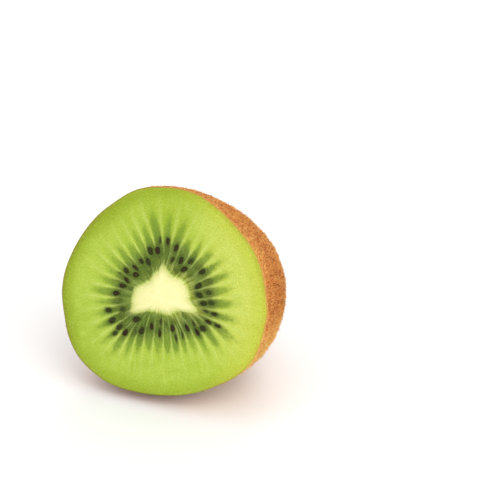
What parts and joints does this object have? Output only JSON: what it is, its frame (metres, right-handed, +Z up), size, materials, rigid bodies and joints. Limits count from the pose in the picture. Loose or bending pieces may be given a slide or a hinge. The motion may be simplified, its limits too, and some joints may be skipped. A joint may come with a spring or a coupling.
{
  "type": "kiwi fruit half",
  "caption": "Green kiwi fruit half lying on its side, with a flat cut face showing pale core, seeds and rays, and a rounded fuzzy brown skin behind.",
  "frame": {"origin": "middle of the base of the bounding box, which lies on the small flat spot the half rests on", "axes": "+Z up, +X to the right across the cut face, -Y the way the cut face looks, leaning back 18 degrees; the stem end points to +Y"},
  "size_m": [0.0536, 0.0426, 0.0504],
  "materials": {
    "flesh": "moist translucent green fruit flesh, paler to the middle, with a pale cream core",
    "skin": "thin dry brown skin, dull, slightly wrinkled and speckled",
    "fuzz": "short stiff brown hairs",
    "seed": "small smooth near-black seeds, moist"
  },
  "bodies": {
    "root": {"fruit_half": "flesh"}
  },
  "joints": []
}
